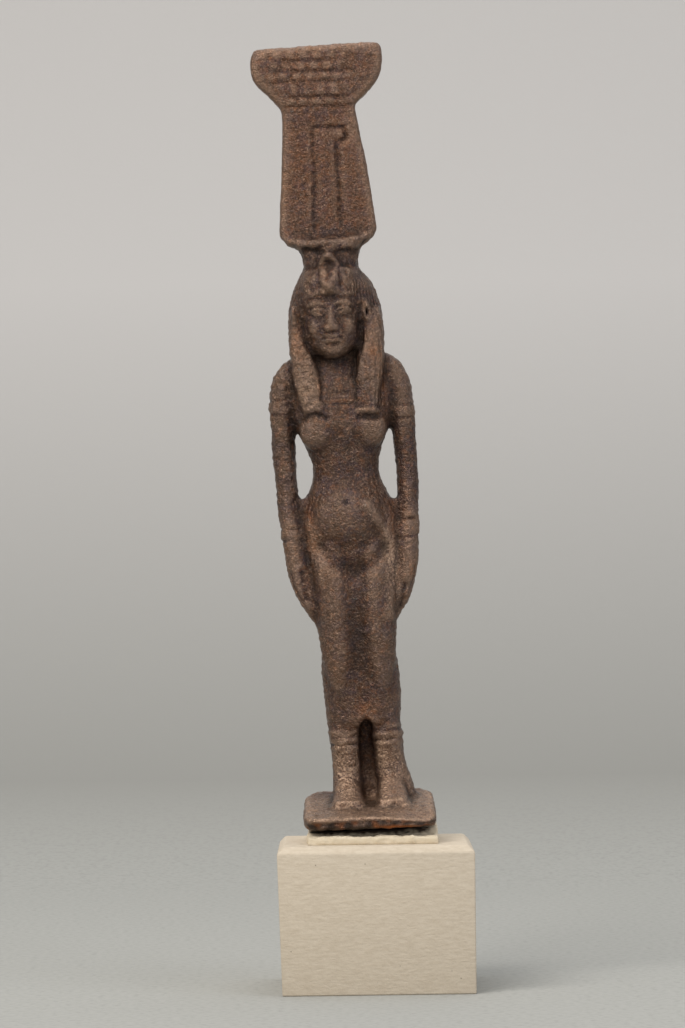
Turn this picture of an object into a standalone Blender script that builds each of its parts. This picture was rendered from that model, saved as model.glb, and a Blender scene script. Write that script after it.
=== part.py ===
"""Small cast bronze of a standing goddess, leaning on the mount that was cut for it.

Three pieces: the bronze (figure, headdress and base plate are one casting), a levelling pad whose top
follows the plate's sloping underside, and a painted block. Metres, +Z up, the front faces -Y. The origin
is the middle of the block's underside.
"""

import math
from collections import namedtuple

import bmesh
import bpy
from mathutils import Matrix, Vector

MM = 0.001

# The painted block, one inch square and three quarters of an inch high
BLOCK_WIDTH = 25.4 * MM
BLOCK_DEPTH = 25.4 * MM
BLOCK_HEIGHT = 19.05 * MM
BLOCK_CHAMFER = 0.85 * MM
BLOCK_CORNER = 0.25 * MM
BLOCK_LEFT_DRAFT = 0.5 * MM
BLOCK_RIGHT_DRAFT = 0.05 * MM

# The pad between block and bronze
PAD_RISE = 1.6 * MM
PAD_LEFT_MARGIN = -0.5 * MM
PAD_RIGHT_MARGIN = 0.1 * MM
PAD_BACK_MARGIN = 0.4 * MM
PAD_FRONT_OVERHANG = 0.3 * MM
PAD_LIP_HEIGHT = 0.7 * MM
PAD_LIP_DEPTH = 2.4 * MM
PAD_SLOPE_RUN = 0.7 * MM
CONTACT_GAP = 0.3 * MM

# How the bronze stands on the pad
LEAN_SIDE = math.radians(1.6)
LEAN_FORWARD = math.radians(2.0)
FIGURE_LEAN_SIDE = math.radians(1.6)
STAND_X = -0.6 * MM
STAND_Y = -0.3 * MM

# The base plate, cast with the figure, thicker at the back than at the front
PLATE_FRONT_WIDTH = 17.2 * MM
PLATE_BACK_WIDTH = 16.9 * MM
PLATE_DEPTH = 17.4 * MM
PLATE_FRONT_THICKNESS = 1.6 * MM
PLATE_BACK_THICKNESS = 3.9 * MM
PLATE_FRONT_CORNER = 2.2 * MM
PLATE_BACK_CORNER = 3.6 * MM
PLATE_EDGE = 0.45 * MM
PLATE_FOOT_EDGE = 0.75 * MM

# The figure with its headdress, from the plate's top to the rim of the basket
FIGURE_HEIGHT = 98.9 * MM

# The figure is drawn in millimetres at this height, and follows FIGURE_HEIGHT as a whole
DRAWN_HEIGHT = 98.9
DRAWN_UNIT = FIGURE_HEIGHT / DRAWN_HEIGHT

# Fineness of the casting's surface, as shares of the figure
VOXEL = 0.0030 * FIGURE_HEIGHT
SMOOTH_ROUNDS = 3
KEPT_FACES = 0.068
RING_POINTS = 40
RING_STEP = 0.5
ROUND_STEPS = 4

# One level of a lofted form, in drawn millimetres: its height, its middle, its reach to the side, to the
# front and to the back, and how square its outline is (2 is an ellipse)
Level = namedtuple("Level", "z x y side front back square", defaults=(2.0,))

BODY = (
    Level(9.9, 0.0, 2.6, 4.40, 2.5, 2.8, 2.5),
    Level(10.4, 0.0, 2.6, 4.78, 2.9, 3.1, 2.5),
    Level(13.3, 0.1, 2.5, 5.05, 3.2, 3.3, 2.5),
    Level(17.3, 0.0, 2.4, 5.05, 3.3, 3.3, 2.5),
    Level(20.3, 0.0, 2.3, 4.85, 3.4, 3.4, 2.4),
    Level(24.3, 0.0, 2.2, 5.20, 3.6, 3.7, 2.3),
    Level(28.3, 0.0, 2.1, 6.00, 3.6, 4.2, 2.2),
    Level(32.3, 0.0, 2.1, 6.60, 3.1, 4.7, 2.2),
    Level(36.3, 0.0, 2.2, 6.45, 3.7, 4.4, 2.2),
    Level(39.8, 0.0, 2.2, 5.45, 3.6, 3.4, 2.2),
    Level(43.1, 0.0, 2.2, 4.30, 3.0, 2.7, 2.2),
    Level(46.0, 0.0, 2.2, 4.75, 3.3, 2.9, 2.2),
    Level(49.3, 0.0, 2.2, 6.10, 3.9, 3.3, 2.3),
    Level(53.3, 0.0, 2.3, 6.90, 3.6, 3.4, 2.4),
    Level(56.6, 0.0, 2.4, 6.60, 2.8, 3.1, 2.4),
    Level(58.2, 0.0, 2.4, 4.70, 2.4, 2.7, 2.2),
    Level(59.6, -0.1, 2.3, 2.80, 2.2, 2.4, 2.0),
    Level(62.3, -0.2, 2.1, 2.50, 2.2, 2.4, 2.0),
)
ARM = (
    Level(58.5, 5.40, 2.5, 0.90, 1.1, 1.1),
    Level(58.0, 5.70, 2.5, 1.50, 1.6, 1.6),
    Level(56.8, 6.25, 2.5, 2.05, 2.0, 2.0),
    Level(55.1, 6.95, 2.5, 2.10, 2.1, 2.1),
    Level(52.9, 7.50, 2.6, 1.88, 2.0, 2.0),
    Level(48.8, 7.88, 2.7, 1.58, 1.8, 1.8),
    Level(44.8, 7.95, 2.7, 1.50, 1.7, 1.7),
    Level(40.8, 7.90, 2.3, 1.42, 1.6, 1.6),
    Level(37.1, 7.72, 1.8, 1.38, 1.5, 1.5),
    Level(33.8, 7.45, 1.4, 1.42, 1.5, 1.5),
    Level(30.8, 7.10, 1.1, 1.52, 1.6, 1.5),
    Level(28.4, 6.60, 0.9, 1.40, 1.5, 1.4),
    Level(26.4, 6.02, 0.8, 1.22, 1.2, 1.2),
    Level(24.9, 5.42, 0.8, 0.85, 0.8, 0.8),
    Level(23.7, 4.95, 0.9, 0.60, 0.5, 0.5),
)
LEGS = {
    -1: (
        Level(-0.8, -2.68, 3.2, 2.00, 2.2, 2.6, 2.6),
        Level(2.0, -2.64, 3.2, 1.88, 2.1, 2.4, 2.6),
        Level(5.0, -2.62, 3.1, 1.84, 2.0, 2.1, 2.6),
        Level(8.0, -2.64, 2.8, 1.86, 2.5, 2.1, 2.6),
        Level(11.6, -2.50, 2.6, 1.95, 2.6, 2.2, 2.4),
    ),
    1: (
        Level(-0.8, 3.95, 3.2, 2.58, 2.2, 2.6, 2.4),
        Level(2.0, 3.70, 3.2, 2.30, 2.1, 2.4, 2.4),
        Level(5.0, 3.16, 3.1, 1.96, 2.0, 2.1, 2.5),
        Level(8.0, 3.02, 2.8, 1.88, 2.5, 2.1, 2.6),
        Level(11.6, 2.80, 2.6, 1.95, 2.6, 2.2, 2.4),
    ),
}
LEG_WEB = (
    Level(-0.5, 0.4, 4.9, 1.6, 0.9, 0.9, 4.0),
    Level(11.4, 0.1, 4.4, 1.5, 0.9, 0.9, 4.0),
)

# The open slot between the ankles, which ends in a round arch in the hem
ANKLE_SLOT = (
    Level(0.3, 0.20, 0.3, 0.95, 3.4, 3.2, 6.0),
    Level(2.9, 0.24, 0.3, 1.08, 3.4, 3.2, 6.0),
    Level(5.5, 0.16, 0.3, 1.00, 3.4, 3.2, 6.0),
    Level(8.2, 0.14, 0.3, 0.92, 3.4, 3.2, 6.0),
    Level(9.9, 0.25, 0.3, 0.88, 3.4, 3.2, 6.0),
    Level(10.5, 0.32, 0.3, 0.68, 3.4, 3.2, 6.0),
    Level(10.85, 0.36, 0.3, 0.30, 3.4, 3.2, 6.0),
)

# A foot is lofted along its length: here z is the distance in front of the heel, x the middle, y the
# height of the middle above the plate, and front and back are the reach upwards and downwards
FOOT_HEEL_Y = 6.3
FOOT_MIDDLES = {-1: -2.75, 1: 3.1}
FOOT = (
    Level(0.0, 0.0, 0.3, 1.10, 0.9, 1.0, 2.4),
    Level(0.9, 0.0, 0.3, 1.60, 1.8, 1.2, 2.4),
    Level(3.5, 0.0, 0.3, 1.85, 3.4, 1.2, 2.4),
    Level(5.6, 0.0, 0.2, 1.95, 2.9, 1.2, 2.4),
    Level(7.8, 0.0, 0.1, 2.05, 1.7, 1.2, 2.6),
    Level(9.2, 0.0, 0.1, 1.95, 1.05, 1.1, 2.8),
    Level(9.7, 0.0, 0.1, 1.60, 0.60, 0.9, 2.8),
)

FACE = (
    Level(58.1, -0.58, 0.3, 0.90, 2.2, 1.5),
    Level(58.6, -0.58, 0.3, 1.90, 3.0, 1.8),
    Level(59.8, -0.58, 0.3, 3.05, 3.35, 2.0, 2.1),
    Level(61.8, -0.58, 0.3, 3.70, 3.4, 2.0, 2.3),
    Level(64.2, -0.58, 0.4, 3.90, 3.3, 2.0, 2.4),
    Level(66.4, -0.50, 0.5, 3.80, 3.2, 2.0, 2.3),
    Level(68.4, -0.40, 0.7, 3.10, 2.9, 2.0),
)
FRINGE = (
    Level(66.0, -0.45, 0.9, 3.75, 3.75, 2.0, 2.3),
    Level(66.3, -0.45, 0.9, 4.05, 4.10, 2.0, 2.3),
    Level(68.2, -0.35, 1.0, 4.05, 4.10, 2.0, 2.2),
    Level(69.7, -0.15, 1.3, 3.75, 3.90, 2.0, 2.0),
)
WIG_CAP = (
    Level(58.6, 0.0, 3.8, 5.60, 2.2, 3.0, 2.3),
    Level(60.0, 0.0, 3.2, 6.15, 3.4, 4.0, 2.3),
    Level(62.1, 0.0, 2.7, 6.28, 3.9, 4.7, 2.2),
    Level(64.7, 0.0, 2.4, 6.02, 4.1, 5.0, 2.1),
    Level(66.3, 0.0, 2.3, 5.60, 4.4, 4.8, 2.1),
    Level(67.8, 0.0, 2.2, 5.00, 4.7, 4.4, 2.1),
    Level(69.1, -0.15, 2.1, 4.15, 4.3, 3.9, 2.0),
    Level(70.0, -0.15, 2.0, 3.60, 3.6, 3.5, 2.0),
    Level(70.6, 0.0, 2.0, 3.00, 3.0, 3.0, 2.0),
)
WIG_BACK = (
    Level(52.2, 0.0, 5.0, 3.90, 0.8, 0.9, 2.6),
    Level(52.8, 0.0, 5.0, 4.30, 1.2, 1.4, 2.6),
    Level(55.8, 0.0, 4.9, 4.80, 1.5, 1.8, 2.6),
    Level(58.8, 0.0, 4.7, 5.50, 1.8, 2.2, 2.4),
    Level(61.8, 0.0, 4.4, 5.80, 2.0, 2.8, 2.2),
)
LAPPET = {
    -1: (
        Level(50.9, -3.68, -0.45, 1.20, 1.1, 1.2, 2.6),
        Level(51.3, -3.70, -0.50, 1.45, 1.3, 1.5, 2.8),
        Level(54.6, -4.10, -0.45, 1.75, 1.35, 1.6, 2.8),
        Level(58.2, -4.65, -0.20, 1.60, 1.6, 2.0, 2.6),
        Level(61.3, -5.00, 0.20, 1.30, 1.6, 2.2, 2.4),
        Level(64.3, -4.90, 0.80, 1.15, 1.6, 2.2, 2.2),
    ),
    1: (
        Level(50.8, 3.30, -0.45, 1.15, 1.2, 1.2, 2.8),
        Level(51.2, 3.33, -0.50, 1.42, 1.5, 1.5, 2.8),
        Level(51.9, 3.40, -0.45, 1.45, 1.2, 1.5, 2.8),
        Level(54.4, 3.68, -0.45, 1.60, 1.35, 1.6, 2.8),
        Level(57.7, 4.15, -0.20, 1.85, 1.6, 2.0, 2.6),
        Level(61.3, 4.60, 0.20, 1.55, 1.6, 2.2, 2.4),
        Level(64.3, 4.65, 0.80, 1.25, 1.6, 2.2, 2.2),
    ),
}
HEADDRESS = (
    Level(69.0, -0.05, 2.0, 3.70, 3.4, 3.3, 2.0),
    Level(70.2, -0.12, 2.0, 3.58, 3.4, 3.3, 2.0),
    Level(72.0, -0.05, 2.0, 3.85, 2.9, 3.1, 2.2),
    Level(72.7, -0.10, 2.0, 4.45, 3.2, 2.8, 2.4),
    Level(73.3, -0.15, 2.0, 5.45, 3.2, 2.2, 2.5),
    Level(74.2, -0.15, 2.0, 6.28, 1.4, 1.3, 5.0),
    Level(75.2, -0.18, 2.0, 6.37, 1.1, 1.1, 6.0),
    Level(82.8, -0.12, 2.0, 5.62, 1.1, 1.1, 6.0),
    Level(90.4, -0.33, 2.0, 4.78, 1.1, 1.1, 6.0),
    Level(91.2, -0.38, 2.0, 5.15, 1.2, 1.1, 6.0),
    Level(92.7, -0.10, 2.0, 6.68, 1.3, 1.2, 6.0),
    Level(94.5, -0.25, 2.0, 8.20, 1.3, 1.2, 6.0),
    Level(96.6, -0.20, 2.0, 8.65, 1.2, 1.2, 6.0),
    Level(98.3, -0.05, 2.0, 8.45, 1.1, 1.1, 6.0),
    Level(98.9, -0.05, 2.0, 8.05, 0.8, 0.8, 6.0),
)
URAEUS = (
    Level(66.6, -0.62, -2.9, 0.90, 0.70, 1.2, 2.4),
    Level(67.0, -0.62, -2.9, 1.10, 1.00, 1.4, 2.2),
    Level(68.0, -0.50, -2.8, 1.35, 0.80, 1.6, 3.0),
    Level(69.4, -0.42, -2.3, 1.45, 0.80, 1.4, 3.0),
    Level(70.3, -0.40, -1.8, 1.40, 0.80, 1.4, 2.6),
    Level(70.8, -0.42, -1.7, 1.25, 1.50, 1.4, 2.0),
    Level(71.3, -0.46, -1.6, 0.90, 1.95, 1.4, 2.0),
    Level(71.8, -0.48, -1.6, 0.50, 1.30, 1.2, 2.0),
)

# Rounded swellings: the middle and the reach along x, y and z. Those off the middle come in pairs
BREAST = ((3.0, 0.05, 48.9), (2.75, 1.75, 2.8))
BELLY = ((0.0, 0.5, 37.4), (4.9, 2.9, 4.9))
LOWER_BELLY = ((0.1, 0.9, 33.5), (2.6, 2.4, 3.2))
SEAT = ((2.5, 4.3, 32.6), (3.4, 2.4, 4.8))
THIGH = ((2.55, 0.5, 25.5), (2.7, 2.5, 12.5))
EAR = ((4.62, -0.95, 64.1), (0.5, 0.75, 1.25))
CHEEK = ((1.9, -2.0, 62.2), (1.2, 1.0, 1.4))
BROW = ((1.65, -2.70, 65.15), (1.30, 0.48, 0.32))
EYE = ((1.65, -2.60, 64.4), (0.95, 0.50, 0.46))
LIPS = ((0.0, -2.95, 60.75), (1.25, 0.50, 0.42))
CHIN = ((0.0, -2.15, 59.2), (1.2, 1.0, 0.85))
FACE_X = -0.58

# Lines carved into the headdress's front, each a route of x and z: the basket's weave rows, which are worn
# away on the right, and the house plan
CARVING_HALF_WIDTH = 0.24
CARVING_DEPTH = 0.24
HEADDRESS_FRONT = 0.9
BASKET_FRONT = 0.75
BASKET_ROWS = (
    ((-5.5, 97.1), (2.8, 96.8)),
    ((-6.5, 95.8), (4.6, 95.3)),
    ((-6.1, 94.4), (4.2, 94.0)),
    ((-4.8, 92.4), (4.2, 92.0)),
    ((-4.9, 91.2), (3.8, 90.8)),
)
HOUSE_PLAN = (
    (-1.75, 75.0), (-1.00, 88.3), (2.98, 88.1), (3.12, 86.6), (1.85, 86.4), (1.68, 80.5), (1.74, 75.2),
)

# The nose is a small wedge: height, forward reach and half its width, from the brow to the tip
NOSE_LEVELS = (
    Level(61.7, 0.0, -2.7, 0.70, 0.95, 0.8),
    Level(62.2, 0.0, -2.7, 0.80, 1.35, 0.8),
    Level(63.3, 0.0, -2.6, 0.50, 1.05, 0.8),
    Level(65.6, 0.0, -2.5, 0.38, 0.55, 0.8),
)

# Raised bands: middle height, half height, and how far each stands proud of its limb
ARMLET = {-1: (52.2, 0.80, 0.15), 1: (50.7, 0.75, 0.15)}
BRACELET = (35.5, 0.80, 0.16)
ANKLET = (8.7, 0.85, 0.17)
ARM_WEB_FOOT = 29.0
ARM_WEB_UNDER_GAP = {-1: 40.1, 1: 39.3}
ARM_WEB_OVER_GAP = 49.0
ARM_WEB_X = 6.0
ARM_WEB_HALF = 1.3
ARM_WEB_REACH = 0.85


def clear_scene():
    """Removes every object that the scene starts with."""
    for obj in list(bpy.data.objects):
        bpy.data.objects.remove(obj, do_unlink=True)


def material(name, rgb, roughness, metallic):
    """A plain Principled material with the piece's own colour."""
    made = bpy.data.materials.new(name)
    made.use_nodes = True
    shader = made.node_tree.nodes["Principled BSDF"]
    shader.inputs["Base Color"].default_value = (*rgb, 1.0)
    shader.inputs["Roughness"].default_value = roughness
    shader.inputs["Metallic"].default_value = metallic
    return made


def blended(a, b, c, d, t):
    """Catmull-Rom value between b and c, field by field."""
    return Level(*(
        0.5 * (2 * q + (r - p) * t + (2 * p - 5 * q + 4 * r - s) * t * t + (3 * q - p - 3 * r + s) * t ** 3)
        for p, q, r, s in zip(a, b, c, d)
    ))


def smooth_levels(levels, step=RING_STEP):
    """Levels read close together along the smooth form that the given ones describe."""
    padded = [levels[0], *levels, levels[-1]]
    dense = []
    for i in range(len(levels) - 1):
        a, b, c, d = padded[i:i + 4]
        count = max(1, math.ceil(abs(c.z - b.z) / step))
        dense += [blended(a, b, c, d, j / count) for j in range(count)]
    return [*dense, levels[-1]]


def level_at(levels, z):
    """The level of a smooth form that is nearest to a height."""
    return min(smooth_levels(levels), key=lambda level: abs(level.z - z))


def ring_of(level):
    """Points round a level, a superellipse with its own front and back reach."""
    points = []
    for i in range(RING_POINTS):
        angle = math.tau * i / RING_POINTS
        across, along = math.cos(angle), math.sin(angle)
        power = 2 / level.square
        reach = level.back if along > 0 else level.front
        points.append(Vector((
            level.x + level.side * math.copysign(abs(across) ** power, across),
            level.y + reach * math.copysign(abs(along) ** power, along),
            level.z,
        )))
    return points


def add_loft(bm, levels, place=None):
    """A closed loft through levels that are listed from the lowest to the highest."""
    rings = []
    for level in smooth_levels(sorted(levels, key=lambda one: one.z)):
        points = [place @ point if place else point for point in ring_of(level)]
        rings.append([bm.verts.new(point) for point in points])
    for low, high in zip(rings, rings[1:]):
        for i in range(RING_POINTS):
            j = (i + 1) % RING_POINTS
            bm.faces.new((low[i], low[j], high[j], high[i]))
    bm.faces.new(reversed(rings[0]))
    bm.faces.new(rings[-1])


def add_ball(bm, middle, reach, side=1):
    """An ellipsoid swelling, mirrored to the other side where side is -1."""
    place = Matrix.Translation((side * middle[0], middle[1], middle[2]))
    bmesh.ops.create_uvsphere(
        bm, u_segments=24, v_segments=14, radius=1.0, matrix=place @ Matrix.Diagonal((*reach, 1.0)))


def mirrored(levels, side):
    """The same levels on the other side of the figure where side is -1."""
    return [level._replace(x=side * level.x) for level in levels]


def add_band(bm, levels, band, side=1):
    """A raised band round a limb, square in section."""
    middle, half, proud = band
    around = [level_at(levels, z) for z in (middle - half, middle + half)]
    grown = [
        one._replace(z=z, side=one.side + proud, front=one.front + proud, back=one.back + proud)
        for one, z in zip(around, (middle - half, middle + half))
    ]
    add_loft(bm, mirrored(grown, side))


def add_body(bm):
    """The torso and the sheath dress, with the swellings that round them."""
    add_loft(bm, BODY)
    for swelling in (BELLY, LOWER_BELLY):
        add_ball(bm, *swelling)
    for side in (-1, 1):
        for swelling in (BREAST, SEAT, THIGH):
            add_ball(bm, *swelling, side=side)


def add_arms(bm):
    """Straight arms with armlets and bracelets, joined to the body above and below an open gap."""
    reach = ARM_WEB_REACH
    for side in (-1, 1):
        add_loft(bm, mirrored(ARM, side))
        add_band(bm, ARM, ARMLET[side], side)
        add_band(bm, ARM, BRACELET, side)
        for low, high in ((ARM_WEB_FOOT, ARM_WEB_UNDER_GAP[side]), (ARM_WEB_OVER_GAP, ARM[2].z)):
            add_loft(bm, [
                Level(z, side * ARM_WEB_X, level_at(ARM, z).y, ARM_WEB_HALF, reach, reach, 3.0)
                for z in (low, high)
            ])


def add_legs(bm, sole_height):
    """Bare ankles with anklets, a web of metal between them, and the feet on the plate's slope."""
    add_loft(bm, LEG_WEB)
    for side, leg in LEGS.items():
        add_loft(bm, leg)
        add_band(bm, leg, ANKLET)
        slope = sole_height(0.0) - sole_height(1.0)
        lay = Matrix(((1, 0, 0, FOOT_MIDDLES[side]),
                      (0, 0, -1, FOOT_HEEL_Y),
                      (0, 1, slope, sole_height(FOOT_HEEL_Y)),
                      (0, 0, 0, 1)))
        add_loft(bm, [level._replace(front=level.back, back=level.front) for level in FOOT], lay)


def add_head(bm):
    """The face under a heavy wig, with its ears and the cobra on the brow."""
    place = Matrix.Translation((FACE_X, 0, 0))
    add_loft(bm, FACE)
    add_loft(bm, NOSE_LEVELS, place)
    add_ball(bm, (FACE_X, *LIPS[0][1:]), LIPS[1])
    add_ball(bm, (FACE_X, *CHIN[0][1:]), CHIN[1])
    for side in (-1, 1):
        for middle, reach in (CHEEK, BROW, EYE, EAR):
            add_ball(bm, (side * middle[0] + FACE_X, *middle[1:]), reach)
        add_loft(bm, LAPPET[side])
    add_loft(bm, FRINGE)
    add_loft(bm, WIG_CAP)
    add_loft(bm, WIG_BACK)
    add_loft(bm, URAEUS)


def add_groove(bm, route, near, far):
    """A cutter along a route of x and z points, mitred at its bends, from one depth to another."""
    points = [Vector(point) for point in route]
    runs = [(b - a).normalized() for a, b in zip(points, points[1:])]
    left, right = [], []
    for i, point in enumerate(points):
        before, after = runs[max(i - 1, 0)], runs[min(i, len(runs) - 1)]
        along = (before + after).normalized()
        across = Vector((-along.y, along.x))
        offset = across * CARVING_HALF_WIDTH / along.dot(before)
        left.append(point + offset)
        right.append(point - offset)
    outline = [*left, *reversed(right)]
    front = [bm.verts.new((x, near, z)) for x, z in outline]
    back = [bm.verts.new((x, far, z)) for x, z in outline]
    bm.faces.new(front)
    bm.faces.new(reversed(back))
    for i in range(len(outline)):
        j = (i + 1) % len(outline)
        bm.faces.new((front[j], front[i], back[i], back[j]))


def plate_outline(inset):
    """Points round the base plate, drawn in by an inset: straight sides between quarter-round corners."""
    points = []
    for quarter, (x_sign, y_sign) in enumerate(((1, 1), (-1, 1), (-1, -1), (1, -1))):
        at_back = y_sign > 0
        width = PLATE_BACK_WIDTH if at_back else PLATE_FRONT_WIDTH
        corner = PLATE_BACK_CORNER if at_back else PLATE_FRONT_CORNER
        middle = Vector((x_sign * (width / 2 - corner), y_sign * (PLATE_DEPTH / 2 - corner)))
        for step in range(ROUND_STEPS + 1):
            angle = math.tau / 4 * (quarter + step / ROUND_STEPS)
            points.append(middle + (corner - inset) * Vector((math.cos(angle), math.sin(angle))))
    return points


def add_plate(bm):
    """The base plate under the figure: narrower and thicker towards the back, all its edges rounded."""
    turns = [math.tau / 4 * step / ROUND_STEPS for step in range(ROUND_STEPS + 1)]
    rings = []
    for turn in turns:
        outline = plate_outline(PLATE_FOOT_EDGE * (1 - math.sin(turn)))
        height = PLATE_FOOT_EDGE * (1 - math.cos(turn))
        rings.append([bm.verts.new((x, y, height)) for x, y in outline])
    for turn in turns:
        outline = plate_outline(PLATE_EDGE * (1 - math.cos(turn)))
        drop = PLATE_EDGE * (1 - math.sin(turn))
        rings.append([bm.verts.new((x, y, plate_top(y) - drop)) for x, y in outline])
    for low, high in zip(rings, rings[1:]):
        for i in range(len(low)):
            j = (i + 1) % len(low)
            bm.faces.new((low[i], low[j], high[j], high[i]))
    bm.faces.new(reversed(rings[0]))
    bm.faces.new(rings[-1])


def plate_top(y):
    """Height of the plate's top above its underside at a distance behind its middle, in metres."""
    rise = (PLATE_BACK_THICKNESS - PLATE_FRONT_THICKNESS) / PLATE_DEPTH
    return PLATE_FRONT_THICKNESS + rise * (y + PLATE_DEPTH / 2)


def statuette_stand():
    """Where the middle of the plate's underside is, and how it leans."""
    height = BLOCK_HEIGHT + CONTACT_GAP + PAD_RISE + CONTACT_GAP
    lean = Matrix.Rotation(-LEAN_SIDE, 4, "Y") @ Matrix.Rotation(LEAN_FORWARD, 4, "X")
    return Matrix.Translation((STAND_X, STAND_Y, height)) @ lean


def make_statuette(bronze):
    """The casting: every form is drawn as its own shell, and one voxel skin melts them together."""
    figure_z = plate_top(0)

    def sole_height(drawn_y):
        return (plate_top(drawn_y * DRAWN_UNIT) - figure_z) / DRAWN_UNIT

    place = (Matrix.Translation((0, 0, figure_z))
             @ Matrix.Rotation(-FIGURE_LEAN_SIDE, 4, "Y") @ Matrix.Scale(DRAWN_UNIT, 4))
    bm = bmesh.new()
    add_body(bm)
    add_arms(bm)
    add_legs(bm, sole_height)
    add_head(bm)
    add_loft(bm, HEADDRESS)
    bmesh.ops.transform(bm, verts=bm.verts, matrix=place)
    add_plate(bm)
    bmesh.ops.recalc_face_normals(bm, faces=bm.faces)
    mesh = bpy.data.meshes.new("statuette")
    bm.to_mesh(mesh)
    bm.free()
    mesh.materials.append(bronze)
    statuette = bpy.data.objects.new("statuette", mesh)
    bpy.context.scene.collection.objects.link(statuette)
    stand = bpy.data.objects.new("stand", None)
    bpy.context.scene.collection.objects.link(stand)
    stand.matrix_world = statuette_stand()
    statuette.parent = stand

    skin = statuette.modifiers.new("skin", "REMESH")
    skin.mode = "VOXEL"
    skin.voxel_size = VOXEL
    skin.use_smooth_shade = True
    soften = statuette.modifiers.new("soften", "SMOOTH")
    soften.factor = 0.5
    soften.iterations = round(SMOOTH_ROUNDS)
    thin = statuette.modifiers.new("thin", "DECIMATE")
    thin.ratio = KEPT_FACES

    carver = make_carver(place)
    carver.parent = stand
    carve = statuette.modifiers.new("carve", "BOOLEAN")
    carve.operation = "DIFFERENCE"
    carve.solver = "EXACT"
    carve.object = carver
    return statuette


def make_carver(place):
    """The cutter of the headdress's lines and of the slot between the ankles, in the figure's place."""
    bm = bmesh.new()
    add_loft(bm, ANKLE_SLOT)
    for route in BASKET_ROWS:
        add_groove(bm, route, BASKET_FRONT - 2 * CARVING_DEPTH, BASKET_FRONT + CARVING_DEPTH)
    add_groove(bm, HOUSE_PLAN, HEADDRESS_FRONT - 2 * CARVING_DEPTH, HEADDRESS_FRONT + CARVING_DEPTH)
    bmesh.ops.transform(bm, verts=bm.verts, matrix=place)
    bmesh.ops.recalc_face_normals(bm, faces=bm.faces)
    mesh = bpy.data.meshes.new("carver")
    bm.to_mesh(mesh)
    bm.free()
    carver = bpy.data.objects.new("carver", mesh)
    bpy.context.scene.collection.objects.link(carver)
    carver.hide_render = True
    carver.display_type = "WIRE"
    return carver


def make_pad(painted_wood):
    """The levelling pad: a low lip in front, a recess behind it, and a top along the plate's underside."""
    stand = statuette_stand()
    normal = stand.to_3x3() @ Vector((0, 0, 1))
    through = stand.translation - normal * CONTACT_GAP
    bottom = BLOCK_HEIGHT + CONTACT_GAP

    def under_plate(x, y):
        return through.z - (normal.x * (x - through.x) + normal.y * (y - through.y)) / normal.z

    front = STAND_Y - PLATE_DEPTH / 2 - PAD_FRONT_OVERHANG
    seat = front + PAD_LIP_DEPTH + PAD_SLOPE_RUN
    back = STAND_Y + PLATE_DEPTH / 2 + PAD_BACK_MARGIN
    bm = bmesh.new()
    sides = []
    for sign, margin in ((-1, PAD_LEFT_MARGIN), (1, PAD_RIGHT_MARGIN)):
        x = STAND_X + sign * (PLATE_FRONT_WIDTH / 2 + margin)
        sides.append([bm.verts.new((x, y, z)) for y, z in (
            (back, bottom),
            (front, bottom),
            (front, bottom + PAD_LIP_HEIGHT),
            (front + PAD_LIP_DEPTH, bottom + PAD_LIP_HEIGHT),
            (seat, under_plate(x, seat)),
            (back, under_plate(x, back)),
        )])
    left, right = sides
    bm.faces.new(left)
    bm.faces.new(reversed(right))
    for i in range(len(left)):
        j = (i + 1) % len(left)
        bm.faces.new((left[j], left[i], right[i], right[j]))
    bmesh.ops.recalc_face_normals(bm, faces=bm.faces)
    mesh = bpy.data.meshes.new("levelling_pad")
    bm.to_mesh(mesh)
    bm.free()
    mesh.materials.append(painted_wood)
    pad = bpy.data.objects.new("levelling_pad", mesh)
    bpy.context.scene.collection.objects.link(pad)
    return pad


def make_block(painted_wood):
    """The block: its sides drawn in a little towards the foot, its top chamfered, its uprights eased."""
    bm = bmesh.new()
    half_width, half_depth = BLOCK_WIDTH / 2, BLOCK_DEPTH / 2
    levels = (
        (0, -half_width + BLOCK_LEFT_DRAFT, half_width - BLOCK_RIGHT_DRAFT),
        (BLOCK_HEIGHT, -half_width, half_width),
    )
    low, high = (
        [bm.verts.new(corner) for corner in (
            (left, -half_depth, z), (right, -half_depth, z), (right, half_depth, z), (left, half_depth, z))]
        for z, left, right in levels
    )
    bm.faces.new(reversed(low))
    bm.faces.new(high)
    for i in range(4):
        j = (i + 1) % 4
        bm.faces.new((low[i], low[j], high[j], high[i]))
    rim = [e for e in bm.edges if all(v.co.z > BLOCK_HEIGHT / 2 for v in e.verts)]
    bmesh.ops.bevel(bm, geom=rim, offset=BLOCK_CHAMFER, segments=1, affect="EDGES", profile=0.5)
    corners = [e for e in bm.edges if abs(e.verts[0].co.z - e.verts[1].co.z) > BLOCK_CHAMFER / 2]
    bmesh.ops.bevel(bm, geom=corners, offset=BLOCK_CORNER, segments=3, affect="EDGES", profile=0.5)
    mesh = bpy.data.meshes.new("mount_block")
    bm.to_mesh(mesh)
    bm.free()
    mesh.materials.append(painted_wood)
    block = bpy.data.objects.new("mount_block", mesh)
    bpy.context.scene.collection.objects.link(block)
    return block


def main():
    clear_scene()
    bronze = material("patinated_bronze", (0.12, 0.078, 0.052), 0.55, 0.6)
    painted_wood = material("painted_wood", (0.60, 0.52, 0.41), 0.85, 0.0)
    make_statuette(bronze)
    make_pad(painted_wood)
    make_block(painted_wood)


main()
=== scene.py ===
"""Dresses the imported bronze, its levelling pad and its block as they stand in a plain studio."""

from __future__ import annotations

import logging
import math
from dataclasses import dataclass
from enum import Enum
from typing import Any, Callable, Iterable, Sequence

import bmesh
import bpy
import numpy as np
from mathutils import Matrix, Vector, noise


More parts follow.
